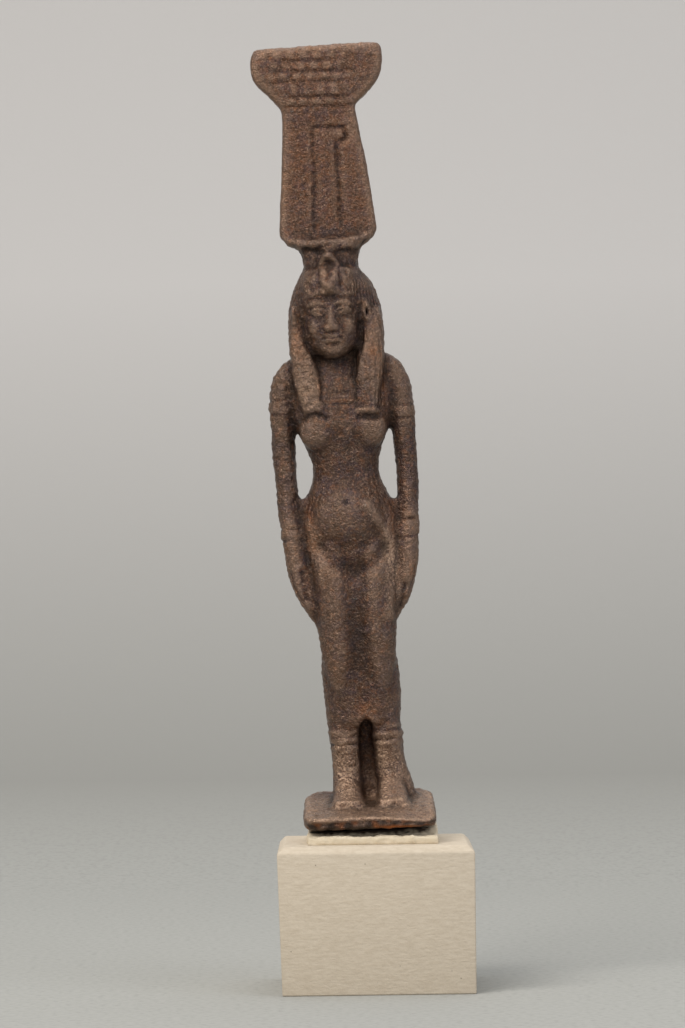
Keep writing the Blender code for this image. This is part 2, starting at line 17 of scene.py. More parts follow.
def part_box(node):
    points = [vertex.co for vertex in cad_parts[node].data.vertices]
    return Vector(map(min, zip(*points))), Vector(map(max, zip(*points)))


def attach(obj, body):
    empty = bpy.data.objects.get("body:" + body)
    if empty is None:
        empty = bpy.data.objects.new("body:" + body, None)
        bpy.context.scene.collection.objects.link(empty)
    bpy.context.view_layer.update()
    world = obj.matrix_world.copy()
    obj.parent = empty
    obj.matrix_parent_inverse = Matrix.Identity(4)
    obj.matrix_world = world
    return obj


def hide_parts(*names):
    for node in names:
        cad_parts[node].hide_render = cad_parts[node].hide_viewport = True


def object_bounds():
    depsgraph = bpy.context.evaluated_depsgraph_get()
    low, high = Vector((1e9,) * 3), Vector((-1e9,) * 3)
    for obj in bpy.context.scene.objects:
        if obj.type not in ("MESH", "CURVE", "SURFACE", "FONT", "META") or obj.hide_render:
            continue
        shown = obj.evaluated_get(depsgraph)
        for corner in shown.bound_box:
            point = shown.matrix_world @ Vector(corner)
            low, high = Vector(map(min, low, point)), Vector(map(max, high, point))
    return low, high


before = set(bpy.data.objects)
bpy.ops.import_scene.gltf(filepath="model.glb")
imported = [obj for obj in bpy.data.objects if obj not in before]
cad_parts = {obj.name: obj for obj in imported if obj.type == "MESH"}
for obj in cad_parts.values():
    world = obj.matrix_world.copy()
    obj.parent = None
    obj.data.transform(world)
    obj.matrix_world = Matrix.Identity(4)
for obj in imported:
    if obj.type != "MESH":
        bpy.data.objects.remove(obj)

MM = 0.001
CAD_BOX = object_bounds()
log = logging.getLogger("statuette")

Point = tuple[float, float, float]
Span = tuple[float, float]
Route = Sequence[tuple[float, float]]
Socket = bpy.types.NodeSocket


class Side(Enum):
    """The side that a line is cut on: the axis it faces along, the axis across it, and its direction."""

    FRONT = (1, 0, -1.0)
    BACK = (1, 0, 1.0)
    LEFT = (0, 1, -1.0)
    RIGHT = (0, 1, 1.0)


# Masks over the points of a piece


def ramp(values: np.ndarray, start: float, end: float) -> np.ndarray:
    """Rise from 0 at one value to 1 at another, which may be the smaller of the two."""
    return np.clip((values - start) / (end - start), 0, 1)


def bell(values: np.ndarray, middle: float | np.ndarray, reach: float) -> np.ndarray:
    """1 at one value, falling off softly on both sides of it."""
    return np.exp(-(((values - middle) / reach) ** 2))


@dataclass(frozen=True)
class Spot:
    """A soft oval across and up the figure, in its own millimetres, and how much it counts."""

    middle: tuple[float, float]
    reach: tuple[float, float]
    share: float = 1.0

    def over(self, x: np.ndarray, z: np.ndarray) -> np.ndarray:
        """How much the oval counts at each point."""
        return self.share * bell(x, self.middle[0], self.reach[0]) * bell(z, self.middle[1], self.reach[1])


# Modelling by hand


def only(piece: bpy.types.Object) -> None:
    """Select one piece, and nothing else.

    Args:
        piece: The piece, which is made the active one.
    """
    bpy.ops.object.select_all(action="DESELECT")
    piece.select_set(True)
    bpy.context.view_layer.objects.active = piece


def finish_with(piece: bpy.types.Object, kind: str, **settings: Any) -> None:
    """Put a modifier on a piece and apply it.

    Args:
        piece: The piece that the modifier shapes.
        kind: Blender's type of modifier.
        settings: The modifier's own settings.
    """
    only(piece)
    modifier = piece.modifiers.new(kind.lower(), kind)
    for name, value in settings.items():
        setattr(modifier, name, value)
    bpy.ops.object.modifier_apply(modifier=modifier.name)


def settle(piece: bpy.types.Object) -> None:
    """Move a piece's place, turn and size into its mesh."""
    only(piece)
    bpy.ops.object.transform_apply(location=True, rotation=True, scale=True)


def pick(piece: bpy.types.Object, kind: str, test: Callable[[Any], bool]) -> None:
    """In edit mode, select the vertices, edges or faces that pass a test, and nothing else.

    Args:
        piece: The piece in edit mode.
        kind: "VERT", "EDGE" or "FACE".
        test: Says of one bmesh element whether it is taken.
    """
    bpy.ops.mesh.select_mode(type=kind)
    bpy.ops.mesh.select_all(action="DESELECT")
    drawn = bmesh.from_edit_mesh(piece.data)
    for element in {"VERT": drawn.verts, "EDGE": drawn.edges, "FACE": drawn.faces}[kind]:
        element.select = bool(test(element))
    drawn.select_flush_mode()
    bmesh.update_edit_mesh(piece.data)


def merged_copy(node: str, name: str) -> bpy.types.Object:
    """A copy of a CAD node's mesh with its loose triangles joined.

    Args:
        node: The CAD node.
        name: The new piece's name.

    Returns:
        The new piece, at the origin.
    """
    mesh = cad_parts[node].data.copy()
    mesh.name = name
    mesh.materials.clear()
    piece = bpy.data.objects.new(name, mesh)
    bpy.context.scene.collection.objects.link(piece)
    only(piece)
    bpy.ops.object.mode_set(mode="EDIT")
    bpy.ops.mesh.select_all(action="SELECT")
    bpy.ops.mesh.remove_doubles(threshold=0.002 * MM)
    bpy.ops.object.mode_set(mode="OBJECT")
    return piece


def add_ball(middle: Point, reach: Point, place: Matrix) -> bpy.types.Object:
    """A squashed ball that is later melted into the casting.

    Args:
        middle: Its middle in the figure's own millimetres.
        reach: Its half sizes along x, y and z.
        place: From the figure's millimetres to the world.

    Returns:
        The ball, with its place in its mesh.
    """
    bpy.ops.object.select_all(action="DESELECT")
    bpy.ops.mesh.primitive_uv_sphere_add(segments=24, ring_count=14, radius=1.0)
    ball = bpy.context.object
    ball.matrix_world = place @ Matrix.Translation(middle) @ Matrix.Diagonal((*reach, 1.0))
    settle(ball)
    return ball


# Finishes


def linear(colour: str) -> tuple[float, float, float, float]:
    """Turn an sRGB hex colour into linear values."""
    parts = [int(colour[i:i + 2], 16) / 255 for i in (1, 3, 5)]
    return (*(c / 12.92 if c <= 0.04045 else ((c + 0.055) / 1.055) ** 2.4 for c in parts), 1.0)


def per_metre(size_mm: float) -> float:
    """The texture scale that draws a pattern of this size."""
    return 1 / (size_mm * MM)


def add_node(tree: bpy.types.NodeTree, kind: str, settings: dict[str, Any] | None = None,
             inputs: dict[str | int, Any] | None = None) -> bpy.types.Node:
    """Add a node with its settings, values and links.

    Args:
        tree: The material's node tree.
        kind: The node's type, without "ShaderNode".
        settings: Properties of the node.
        inputs: For each input socket, a value, or an output socket to link.

    Returns:
        The node.
    """
    node = tree.nodes.new("ShaderNode" + kind)
    for name, value in (settings or {}).items():
        setattr(node, name, value)
    for socket, value in (inputs or {}).items():
        if isinstance(value, bpy.types.NodeSocket):
            tree.links.new(value, node.inputs[socket])
        else:
            node.inputs[socket].default_value = value
    return node


def new_material(name: str) -> tuple[bpy.types.Material, bpy.types.NodeTree, bpy.types.Node]:
    """Start a fresh material.

    Args:
        name: The material's name.

    Returns:
        The material, its tree, and its shader, which is linked to the output.
    """
    material = bpy.data.materials.new(name)
    material.use_nodes = True
    tree = material.node_tree
    tree.nodes.clear()
    shader = add_node(tree, "BsdfPrincipled")
    add_node(tree, "OutputMaterial", inputs={"Surface": shader.outputs[0]})
    return material, tree, shader


def lay_surface(tree: bpy.types.NodeTree, shader: bpy.types.Node, ground: str,
                coats: Iterable[tuple[str, Any]], reliefs: Iterable[tuple[Socket, float, Any]]) -> None:
    """Lay a material's colours and its reliefs over each other, each in its order, and link them.

    Args:
        tree: The material's node tree.
        shader: Its shader.
        ground: The lowest colour.
        coats: Each next colour, and where it shows.
        reliefs: Each relief's height, its depth in millimetres, and where it shows.
    """
    colour: Any = linear(ground)
    for hue, where in coats:
        mixed = add_node(tree, "Mix", {"data_type": "RGBA"}, {0: where, 6: colour, 7: linear(hue)})
        colour = mixed.outputs[2]
    tree.links.new(colour, shader.inputs["Base Color"])
    below: dict[str | int, Any] = {}
    for height, depth_mm, where in reliefs:
        relief = add_node(tree, "Bump", inputs={
            "Height": height, "Strength": where, "Distance": depth_mm * MM, **below})
        below = {"Normal": relief.outputs[0]}
    tree.links.new(below["Normal"], shader.inputs["Normal"])


class Patina(Enum):
    """The colours of the bronze's skin, some of them also laid on as painted highlight and painted shade."""

    OLIVE = "#524036"
    BROWN = "#5A4133"
    VIOLET = "#463A41"
    COPPER = "#8E5A36"
    VERDIGRIS = "#6F7E7C"
    DEEP = "#15100D"
    CRUST = "#2B211B"
    BARE = "#A35F2E"
    RUBBED = "#B89A82"


@dataclass(frozen=True)
class Coat:
    """One colour of the patina, and where it shows: its share, its clouds, a number kept at the points."""

    colour: Patina
    share: float = 1.0
    cloud_mm: float = 0.0
    cloud_levels: Span = (0.0, 1.0)
    cloud_shift: float = 0.0
    cloud_detail: float = 4.0
    kept: str = ""
    kept_levels: Span = (0.0, 1.0)


@dataclass(frozen=True)
class PatinatedBronze:
    """Cast bronze with a brown patina: satin, mottled, dark in its fine hollows, rubbed where it is high,
    with painted shade in its broad folds and painted highlights on its lit places.
    """

    name: str = "patinated_bronze"
    coats: tuple[Coat, ...] = (
        Coat(Patina.BROWN, 1.0, 7.0, (0.35, 0.65)),
        Coat(Patina.VIOLET, 0.65, 1.8, (0.44, 0.66), 0.1, 6.0),
        Coat(Patina.COPPER, 0.42, 0.56, (0.50, 0.70), 0.2),
        Coat(Patina.COPPER, 1.0, 0.56, (0.35, 0.60), 0.7, kept="copper"),
        # Pale specks 0.28 mm across: partly speckled patina, partly painted highlight on the lit sides of the
        # grains
        Coat(Patina.RUBBED, 0.34, 0.28, (0.52, 0.70), 0.3, 2.0),
        Coat(Patina.VERDIGRIS, 0.45, 0.70, (0.66, 0.78), 0.4, 3.0),
        # Dark specks 0.28 mm across: partly pitted patina, partly painted shade on the shaded sides of the
        # grains
        Coat(Patina.DEEP, 0.56, 0.28, (0.50, 0.70), 0.5, 2.0),
        # Paler on ridges: partly wear, partly a painted highlight along the raised forms
        Coat(Patina.RUBBED, 0.25, kept="recess_and_shade", kept_levels=(-0.1, -0.8)),
        # Rubbed places, with painted highlights on the shins, hips, a lappet and the plate
        Coat(Patina.RUBBED, 1.0, 0.28, (0.36, 0.60), 0.8, kept="rub_and_highlight"),
        # Darker patina in fine hollows, with painted shade over broad folds, the waist, lower belly and
        # forearms
        Coat(Patina.DEEP, 0.60, kept="recess_and_shade", kept_levels=(0.05, 0.9)),
        # Darker in patches on the plate's front face
        Coat(Patina.CRUST, kept="plate_front_dark"),
        Coat(Patina.BARE, kept="bare_copper"),
    )
    coarse_mm: float = 0.75
    coarse_depth_mm: float = 0.34
    grain_mm: float = 0.40
    grain_depth_mm: float = 0.20
    fine_grain_mm: float = 0.20
    fine_depth_mm: float = 0.08
    strand_mm: float = 0.62
    strand_depth_mm: float = 0.035
    sheen_mm: float = 1.8
    roughness: Span = (0.26, 0.40)
    metallic: float = 0.65

    def make(self) -> bpy.types.Material:
        """Build the material.

        Returns:
            The material.
        """
        # Cast in a mould, buried and cleaned: the eye gets a dull metal sheen that breaks up into grains,
        # never a mirror, and an oxide skin that keeps its colour. The real skin's finest grains are under
        # 0.1 mm, less than a pixel of the render, so specks and grains are drawn two to three times coarser
        material, tree, shader = new_material(self.name)
        place = add_node(tree, "TexCoord").outputs["Object"]
        kept = {name: add_node(tree, "Attribute", {"attribute_name": name}).outputs["Fac"]
                for name in ("recess_and_shade", "rub_and_highlight", "copper", "plate_front_dark", "bare_copper", "coarse", "combed", "strand")}

        def cloud(size_mm: float, levels: Span, shift: float, detail: float) -> Socket:
            """Clouds of one size, made a mask between two of their levels.

            Args:
                size_mm: Their size.
                levels: The levels where the mask begins and where it is whole.
                shift: Moves the clouds away from those of other coats.
                detail: How finely they are frayed.

            Returns:
                The mask's socket.
            """
            spot = add_node(tree, "Mapping", inputs={"Vector": place, "Location": (shift, shift, shift)})
            pattern = add_node(tree, "TexNoise", inputs={
                "Vector": spot.outputs[0], "Scale": per_metre(size_mm), "Detail": detail, "Roughness": 0.6})
            return add_node(tree, "MapRange", inputs={
                "Value": pattern.outputs["Fac"], "From Min": levels[0], "From Max": levels[1]}).outputs[0]

        coats = []
        for coat in self.coats:
            where: Any = coat.share
            if coat.cloud_mm:
                clouds = cloud(coat.cloud_mm, coat.cloud_levels, coat.cloud_shift, coat.cloud_detail)
                where = add_node(tree, "Math", {"operation": "MULTIPLY"}, {0: clouds, 1: where}).outputs[0]
            if coat.kept:
                begin, whole = coat.kept_levels
                level = add_node(tree, "MapRange", inputs={
                    "Value": kept[coat.kept], "From Min": begin, "From Max": whole}).outputs[0]
                where = add_node(tree, "Math", {"operation": "MULTIPLY"}, {0: level, 1: where}).outputs[0]
            coats.append((coat.colour.value, where))

        reliefs = []
        for size_mm, depth_mm, where in (
            (self.coarse_mm, self.coarse_depth_mm, kept["coarse"]),
            (self.grain_mm, self.grain_depth_mm, 1.0),
            (self.fine_grain_mm, self.fine_depth_mm, 1.0),
        ):
            grain = add_node(tree, "TexNoise", inputs={
                "Vector": place, "Scale": per_metre(size_mm), "Detail": 3.0, "Roughness": 0.6})
            reliefs.append((grain.outputs["Fac"], depth_mm, where))
        turn = add_node(tree, "Math", {"operation": "MULTIPLY"}, {
            0: kept["strand"], 1: 2 * math.pi / self.strand_mm})
        strands = add_node(tree, "Math", {"operation": "SINE"}, {0: turn.outputs[0]})
        reliefs.append((strands.outputs[0], self.strand_depth_mm, kept["combed"]))
        lay_surface(tree, shader, Patina.OLIVE.value, coats, reliefs)

        sheen = add_node(tree, "MapRange", inputs={
            "Value": cloud(self.sheen_mm, (0.3, 0.7), 0.6, 4.0),
            "To Min": self.roughness[0], "To Max": self.roughness[1]})
        tree.links.new(sheen.outputs[0], shader.inputs["Roughness"])
        shader.inputs["Metallic"].default_value = self.metallic
        return material


@dataclass(frozen=True)
class BrushedPaint:
    """Matt emulsion brushed on wood: warm grey-buff, with fine level brush marks and a few dark specks."""

    name: str = "painted_block"
    buff: str = "#CFC3B0"
    shade: str = "#C2B5A1"
    fleck: str = "#8F8473"
    stain_and_shadow: str = "#3A2D24"
    brush_mm: float = 0.26
    brush_length_mm: float = 1.1
    brush_depth_mm: float = 0.05
    nap_mm: float = 0.45
    nap_depth_mm: float = 0.08
    fleck_mm: float = 1.5
    flecked_place_mm: float = 4.0
    relief: float = 0.8
    roughness: float = 0.85

    def make(self) -> bpy.types.Material:
        """Build the material.

        Returns:
            The material.
        """
        # A chalky, thick paint that the brush left in level ridges: the eye gets no sheen at all, only faint
        # streaks. The bristles' marks are about 0.1 mm apart, too fine to show, and are drawn at 0.26 mm
        material, tree, shader = new_material(self.name)
        place = add_node(tree, "TexCoord").outputs["Object"]
        along = self.brush_mm / self.brush_length_mm
        streaks = add_node(tree, "Mapping", inputs={"Vector": place, "Scale": (along, along, 1.0)})
        brush = add_node(tree, "TexNoise", inputs={
            "Vector": streaks.outputs[0], "Scale": per_metre(self.brush_mm), "Detail": 3.0, "Roughness": 0.6})
        nap = add_node(tree, "TexNoise", inputs={
            "Vector": place, "Scale": per_metre(self.nap_mm), "Detail": 4.0, "Roughness": 0.65})
        tone = add_node(tree, "MapRange", inputs={
            "Value": brush.outputs["Fac"], "From Min": 0.3, "From Max": 0.7})
        cells = add_node(tree, "TexVoronoi", inputs={"Vector": place, "Scale": per_metre(self.fleck_mm)})
        specks = add_node(tree, "MapRange", inputs={
            "Value": cells.outputs["Distance"], "From Min": 0.075, "From Max": 0.04})
        thin = add_node(tree, "TexNoise", inputs={"Vector": place, "Scale": per_metre(self.flecked_place_mm)})
        few = add_node(tree, "MapRange", inputs={
            "Value": thin.outputs["Fac"], "From Min": 0.54, "From Max": 0.60})
        flecks = add_node(tree, "Math", {"operation": "MULTIPLY"}, {0: specks.outputs[0], 1: few.outputs[0]})
        # Painted shadow with some brown staining under the overhanging bronze, and a line of dirt along a
        # foot, kept at the piece's points
        stain_shadow_mask = add_node(tree, "Attribute", {"attribute_name": "stain_and_shadow"})
        coats = ((self.shade, tone.outputs[0]), (self.fleck, flecks.outputs[0]),
                 (self.stain_and_shadow, stain_shadow_mask.outputs["Fac"]))
        reliefs = ((brush.outputs["Fac"], self.brush_depth_mm, self.relief),
                   (nap.outputs["Fac"], self.nap_depth_mm, self.relief))
        lay_surface(tree, shader, self.buff, coats, reliefs)
        shader.inputs["Roughness"].default_value = self.roughness
        return material


@dataclass(frozen=True)
class SeamlessPaper:
    """Seamless grey paper under and behind the object: matt, with painted shade where it turns up and painted
    light higher up the wall.
    """

    name: str = "seamless_paper"
    floor: str = "#A5A6A2"
    turn: str = "#91918D"
    top: str = "#BCBAB8"
    fleck: str = "#6F6F6C"
    fleck_share: float = 0.30
    turn_height_mm: float = 15.0
    top_height_mm: float = 118.0
    grain_mm: float = 0.9
    grain_depth_mm: float = 0.05
    relief: float = 0.3
    roughness: float = 0.95

    def make(self) -> bpy.types.Material:
        """Build the material.

        Returns:
            The material.
        """
        # Coated roll paper, smooth and soft: the eye gets an even grey with a faint grain near the lens only
        material, tree, shader = new_material(self.name)
        place = add_node(tree, "TexCoord").outputs["Object"]
        height = add_node(tree, "SeparateXYZ", inputs={0: place}).outputs["Z"]
        turn_at = self.turn_height_mm * MM
        off_floor = add_node(tree, "MapRange", inputs={"Value": height, "From Max": turn_at})
        rise = add_node(tree, "MapRange", inputs={
            "Value": height, "From Min": turn_at, "From Max": self.top_height_mm * MM})
        grain = add_node(tree, "TexNoise", inputs={"Vector": place, "Scale": per_metre(self.grain_mm)})
        floor_only = add_node(tree, "MapRange", inputs={
            "Value": height, "From Max": turn_at, "To Min": self.fleck_share, "To Max": 0.0})
        flecks = add_node(tree, "MapRange", inputs={
            "Value": grain.outputs["Fac"], "From Min": 0.45, "From Max": 0.75,
            "To Max": floor_only.outputs[0]})
        # The darker turn is painted shade and the paler upper wall painted light
        coats = ((self.turn, off_floor.outputs[0]), (self.top, rise.outputs[0]),
                 (self.fleck, flecks.outputs[0]))
        reliefs = ((grain.outputs["Fac"], self.grain_depth_mm, self.relief),)
        lay_surface(tree, shader, self.floor, coats, reliefs)
        shader.inputs["Roughness"].default_value = self.roughness
        # From behind, the paper lets the view through, so that the object's back can be seen
        either = add_node(tree, "MixShader", inputs={
            0: add_node(tree, "NewGeometry").outputs["Backfacing"], 1: shader.outputs[0],
            2: add_node(tree, "BsdfTransparent").outputs[0]})
        tree.links.new(either.outputs[0], tree.nodes["Material Output"].inputs["Surface"])
        return material


# The bronze


class Chisel:
    """Moves the points of one piece in and out along their normals, or straight down, in millimetres."""

    def __init__(self, piece: bpy.types.Object, place: Matrix) -> None:
        """Read the piece's points.

        Args:
            piece: The piece to work on.
            place: From the millimetres that it works in to the world.
        """
        self.mesh = piece.data
        self.place = place
        count = len(self.mesh.vertices)
        world = np.empty(count * 3)
        self.mesh.vertices.foreach_get("co", world)
        outward = np.empty(count * 3)
        self.mesh.vertices.foreach_get("normal", outward)
        back = np.array(place.inverted())
        self.at = world.reshape(-1, 3) @ back[:3, :3].T + back[:3, 3]
        turned = outward.reshape(-1, 3) @ np.array(place.to_3x3().normalized())
        self.out = turned / np.linalg.norm(turned, axis=1, keepdims=True)
        self.lift = np.zeros(count)

    def facing(self, side: Side) -> np.ndarray:
        """How fully each point faces one side, from 0 to 1.

        Args:
            side: The side.

        Returns:
            A mask over the points, which leaves out those that only graze that side.
        """
        axis, _, sign = side.value
        return np.clip(self.out[:, axis] * sign * 1.8 - 0.15, 0, 1)

    def groove(self, route: Route, half_width: float, depth: float, side: Side = Side.FRONT,
               where: np.ndarray | float = 1.0) -> None:
        """Cut a line, or raise one if its depth is negative.

        Args:
            route: Its points, each across the side and up.
            half_width: Half its width.
            depth: How deep it goes.
            side: The side that it is cut on.
            where: A mask over the points, if it isn't to touch them all.
        """
        across = self.at[:, side.value[1]]
        up = self.at[:, 2]
        nearest = np.full(len(across), np.inf)
        for (x0, z0), (x1, z1) in zip(route, route[1:]):
            along_x, along_z = x1 - x0, z1 - z0
            length = along_x ** 2 + along_z ** 2
            t = np.clip(((across - x0) * along_x + (up - z0) * along_z) / length, 0, 1)
            gap = np.hypot(across - x0 - t * along_x, up - z0 - t * along_z)
            nearest = np.minimum(nearest, gap)
        self.lift -= depth * bell(nearest, 0, half_width) * self.facing(side) * where

    def ring(self, height: float, half_width: float, depth: float, side: int, fade: Span) -> None:
        """Cut a level line round the outer part of a limb, worn in places.

        Args:
            height: Its height.
            half_width: Half its width.
            depth: How deep it goes.
            side: -1 for a limb on the left, 1 on the right.
            fade: Where across the figure it begins and where it is whole.
        """
        x, _, z = self.at.T
        worn = self.patches(1.4, height, 0.65, 1.2, (0.1, 1.2))
        self.lift -= depth * bell(z, height, half_width) * ramp(x * side, *fade) * worn

    def swell(self, middle: Point, reach: Point, height: float) -> None:
        """Raise a soft bump, or press a hollow if its height is negative."""
        away = np.linalg.norm((self.at - middle) / reach, axis=1)
        self.lift += height * np.exp(-(away ** 2))

    def pattern(self, size: float, seed: float) -> np.ndarray:
        """A random pattern of one grain size, about -0.5 to 0.5 at each point."""
        shift = Vector((seed, seed, seed))
        return np.array([noise.noise(Vector(point) / size + shift) for point in self.at])

    def patches(self, size: float, seed: float, level: float, contrast: float,
                limits: Span = (0.0, 1.0)) -> np.ndarray:
        """A random mask over the points.

        Args:
            size: The patches' size.
            seed: Shifts the pattern.
            level: What the mask is on average.
            contrast: How far the pattern takes it from there.
            limits: The least and the most that it may be.

        Returns:
            The mask.
        """
        return np.clip(level + contrast * self.pattern(size, seed), *limits)

    def roughen(self, size: float, height: float, seed: float, where: np.ndarray | float = 1.0) -> None:
        """Add a random roughness of one grain size.

        Args:
            size: The grain's size.
            height: How far it moves a point at most.
            seed: Shifts the pattern.
            where: A mask over the points.
        """
        self.lift += height * self.pattern(size, seed) * where

    def sink(self, depth: np.ndarray) -> None:
        """Move the points straight down."""
        self.at[:, 2] -= depth

    def apply(self) -> None:
        """Move the points, but not out of the solid's box, and start again from where they are."""
        self.at += self.out * self.lift[:, None]
        matrix = np.array(self.place)
        world = np.clip(self.at @ matrix[:3, :3].T + matrix[:3, 3], *CAD_BOX)
        self.mesh.vertices.foreach_set("co", world.ravel())
        self.mesh.update()
        self.lift[:] = 0

    def hollowness(self, rounds: int) -> np.ndarray:
        """How far each point lies below its smoothed surroundings, in millimetres.

        Args:
            rounds: How often the surroundings are averaged.

        Returns:
            Positive in hollows, negative on ridges.
        """
        pairs = np.empty(len(self.mesh.edges) * 2, dtype=int)
        self.mesh.edges.foreach_get("vertices", pairs)
        one, other = pairs.reshape(-1, 2).T
        count = len(self.at)
        degree = np.bincount(one, minlength=count) + np.bincount(other, minlength=count)
        smooth = self.at.copy()
        for _ in range(rounds):
            for axis in range(3):
                total = np.bincount(one, smooth[other, axis], count)
                total += np.bincount(other, smooth[one, axis], count)
                smooth[:, axis] = total / degree
        return np.einsum("ij,ij->i", smooth - self.at, self.out)

    def keep(self, name: str, values: np.ndarray) -> None:
        """Store one number a point, which a material reads by its name."""
        self.mesh.attributes.new(name, "FLOAT", "POINT").data.foreach_set("value", values.astype(np.float32))


@dataclass
class Statuette:
    """The cast bronze: figure, headdress and base plate in one, carved finer than its solid.

    Heights and places are in millimetres of the figure's own upright frame, whose zero is the plate's top.
    """

    stand: Point = (-0.6, -0.3, 21.25)
    lean_side: float = 1.6
    lean_forward: float = 2.0
    figure_lean: float = 1.6
    plate_rise: float = 2.75
    plate_slope: float = -0.028
    voxel: float = 0.238
    face_x: float = -0.58
    eye: tuple[float, float] = (1.62, 64.2)
    eye_half: tuple[float, float] = (1.0, 0.42)
    mouth_height: float = 60.72
    basket_foot: float = 90.6
    basket_top: float = 98.4
    basket_rows: tuple[float, ...] = (97.0, 95.6, 94.2, 92.2, 91.0)
    basket_slope: float = -0.045
    pellet: float = 1.75
    armlets: tuple[tuple[int, float], ...] = ((-1, 53.15), (-1, 51.35), (1, 51.5), (1, 49.85))
    bracelets: tuple[tuple[int, float], ...] = ((-1, 36.3), (-1, 34.8), (1, 36.7), (1, 34.35))
    anklets: tuple[tuple[int, float, float], ...] = (
        (-1, 9.35, -0.16), (-1, 8.65, 0.12), (-1, 7.70, 0.26), (-1, 7.25, -0.12),
        (1, 9.30, 0.16), (1, 8.70, -0.12), (1, 8.00, 0.24), (1, 7.45, -0.10))
    toe_rows: tuple[float, float] = (-2.85, 2.95)
    # Painted shade on the waist, collar, lower skirt and lower belly
    shade_spots: tuple[Spot, ...] = (
        Spot((0.0, 44.0), (4.0, 3.0), 0.30), Spot((0.0, 53.0), (2.5, 2.5), 0.20),
        Spot((0.0, 20.0), (6.0, 6.0), 0.14), Spot((0.3, 33.5), (2.6, 2.4), 0.12))
    # Painted highlights on the hips and the image-left lappet
    painted_highlight_spots: tuple[Spot, ...] = (
        Spot((5.0, 32.0), (0.9, 4.5), 0.90), Spot((-4.4, 32.5), (0.9, 3.5), 0.45),
        Spot((-4.2, 54.5), (1.6, 3.0), 0.60))
    copper_spots: tuple[Spot, ...] = (
        Spot((-5.4, 60.6), (0.8, 1.8)), Spot((-2.7, 54.6), (0.45, 1.3)), Spot((0.1, 52.6), (1.3, 0.16)),
        Spot((5.6, 54.0), (0.5, 2.5)), Spot((4.7, 58.6), (0.8, 1.0)), Spot((7.6, 30.0), (0.35, 1.2)),
        Spot((0.5, 12.0), (1.4, 1.4)), Spot((-5.2, 37.5), (0.6, 2.0)), Spot((-4.8, 34.0), (1.0, 1.2)),
        Spot((5.6, 37.0), (0.5, 2.5)))

    @property
    def place(self) -> Matrix:
        """From the figure's millimetres to the world.

        Returns:
            The figure's own lean on its plate, then the plate's lean on the pad.
        """
        stand = Matrix.Translation(Vector(self.stand) * MM)
        lean = Matrix.Rotation(-math.radians(self.lean_side), 4, "Y")
        lean @= Matrix.Rotation(math.radians(self.lean_forward), 4, "X")
        figure = Matrix.Translation((0, 0, self.plate_rise * MM))
        figure @= Matrix.Rotation(-math.radians(self.figure_lean), 4, "Y")
        return stand @ lean @ figure @ Matrix.Scale(MM, 4)

    def build(self) -> bpy.types.Object:
        """Model the bronze.

        Returns:
            The finished piece.
        """
        bronze = merged_copy("statuette", "bronze_figure")
        finish_with(bronze, "SUBSURF", levels=1, render_levels=1)
        forms = [bronze, *self.fine_forms()]
        bpy.ops.object.select_all(action="DESELECT")
        for form in forms:
            form.select_set(True)
        bpy.context.view_layer.objects.active = bronze
        bpy.ops.object.join()
        finish_with(bronze, "REMESH", mode="VOXEL", voxel_size=self.voxel * MM, use_smooth_shade=True)
        finish_with(bronze, "SMOOTH", factor=0.5, iterations=5)
        # Lines finer than a cutter or a bevel can draw are pushed in point by point
        chisel = Chisel(bronze, self.place)
        self.carve_face(chisel)
        self.carve_headdress(chisel)
        self.carve_wig(chisel)
        self.carve_body(chisel)
        chisel.apply()
        # The skin is mapped on the clean carving, so that its colours follow the forms and not the roughness
        self.map_hollows_and_shade(chisel)
        self.map_wear_and_highlights(chisel)
        self.map_plate_front(chisel)
        self.map_strands(chisel)
        self.age(chisel)
        chisel.apply()
        return bronze

    def fine_forms(self) -> list[bpy.types.Object]:
        """Model the small rounded forms that are melted into the casting.

        Returns:
            The eyes, the wings of the nose, the ears and the toes.
        """
        forms = []
        for side in (-1, 1):
            eye_x = self.face_x + side * self.eye[0]
            forms.append(add_ball((eye_x, -2.35, self.eye[1]), (0.92, 0.75, 0.40), self.place))
            forms.append(add_ball((self.face_x + 0.5 * side, -3.35, 62.05), (0.42, 0.50, 0.36), self.place))
            ear_x = self.face_x + 4.66 * side
            forms.append(add_ball((ear_x, -0.95, 64.5), (0.42, 0.80, 0.75), self.place))
            forms.append(add_ball((ear_x, -0.85, 63.2), (0.38, 0.55, 0.65), self.place))
        for row, middle in enumerate(self.toe_rows):
            for toe in range(5):
                x = middle + (toe - 2) * 0.68
                ahead = 0.25 - 0.12 * abs(toe - (3 if row == 0 else 1))
                forms.append(add_ball((x, -2.75 - ahead, 0.30), (0.35, 0.75, 0.46), self.place))
        return forms

